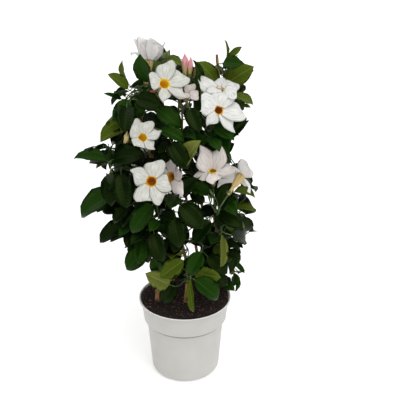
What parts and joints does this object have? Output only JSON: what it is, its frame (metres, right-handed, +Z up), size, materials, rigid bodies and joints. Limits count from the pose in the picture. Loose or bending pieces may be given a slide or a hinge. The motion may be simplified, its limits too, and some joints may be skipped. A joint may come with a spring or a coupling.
{
  "type": "potted mandevilla",
  "caption": "Climbing patio shrub with glossy dark leaves and white funnel flowers, in a round white plastic pot.",
  "frame": {"origin": "middle of the pot's flat underside, on the floor", "axes": "+Z up along the pot's axis, -Y towards the side that the picture shows"},
  "size_m": [0.3472, 0.3397, 0.7005],
  "materials": {
    "white_plastic": "matt moulded",
    "compost": "loose crumbs",
    "woody_stem": "rough bark",
    "foliage": "glossy leaves, satin petals"
  },
  "bodies": {
    "root": {"pot": "white_plastic", "soil": "compost", "stem_left": "woody_stem", "stem_right": "woody_stem", "stem_middle": "woody_stem", "stem_back_left": "woody_stem", "stem_back_right": "woody_stem", "leaves_left_top": "foliage", "leaves_middle_top": "foliage", "leaves_right_top": "foliage", "leaves_left_upper": "foliage", "leaves_middle_upper": "foliage", "leaves_right_upper": "foliage", "leaves_left_middle": "foliage", "leaves_middle": "foliage", "leaves_right_middle": "foliage", "leaves_left_low": "foliage", "leaves_middle_low": "foliage", "leaves_right_low": "foliage", "leaves_foot": "foliage", "leaves_back_left_top": "foliage", "leaves_back_right_top": "foliage", "leaves_back_left_middle": "foliage", "leaves_back_right_middle": "foliage", "leaves_back_left_low": "foliage", "leaves_back_right_low": "foliage"}
  },
  "joints": []
}
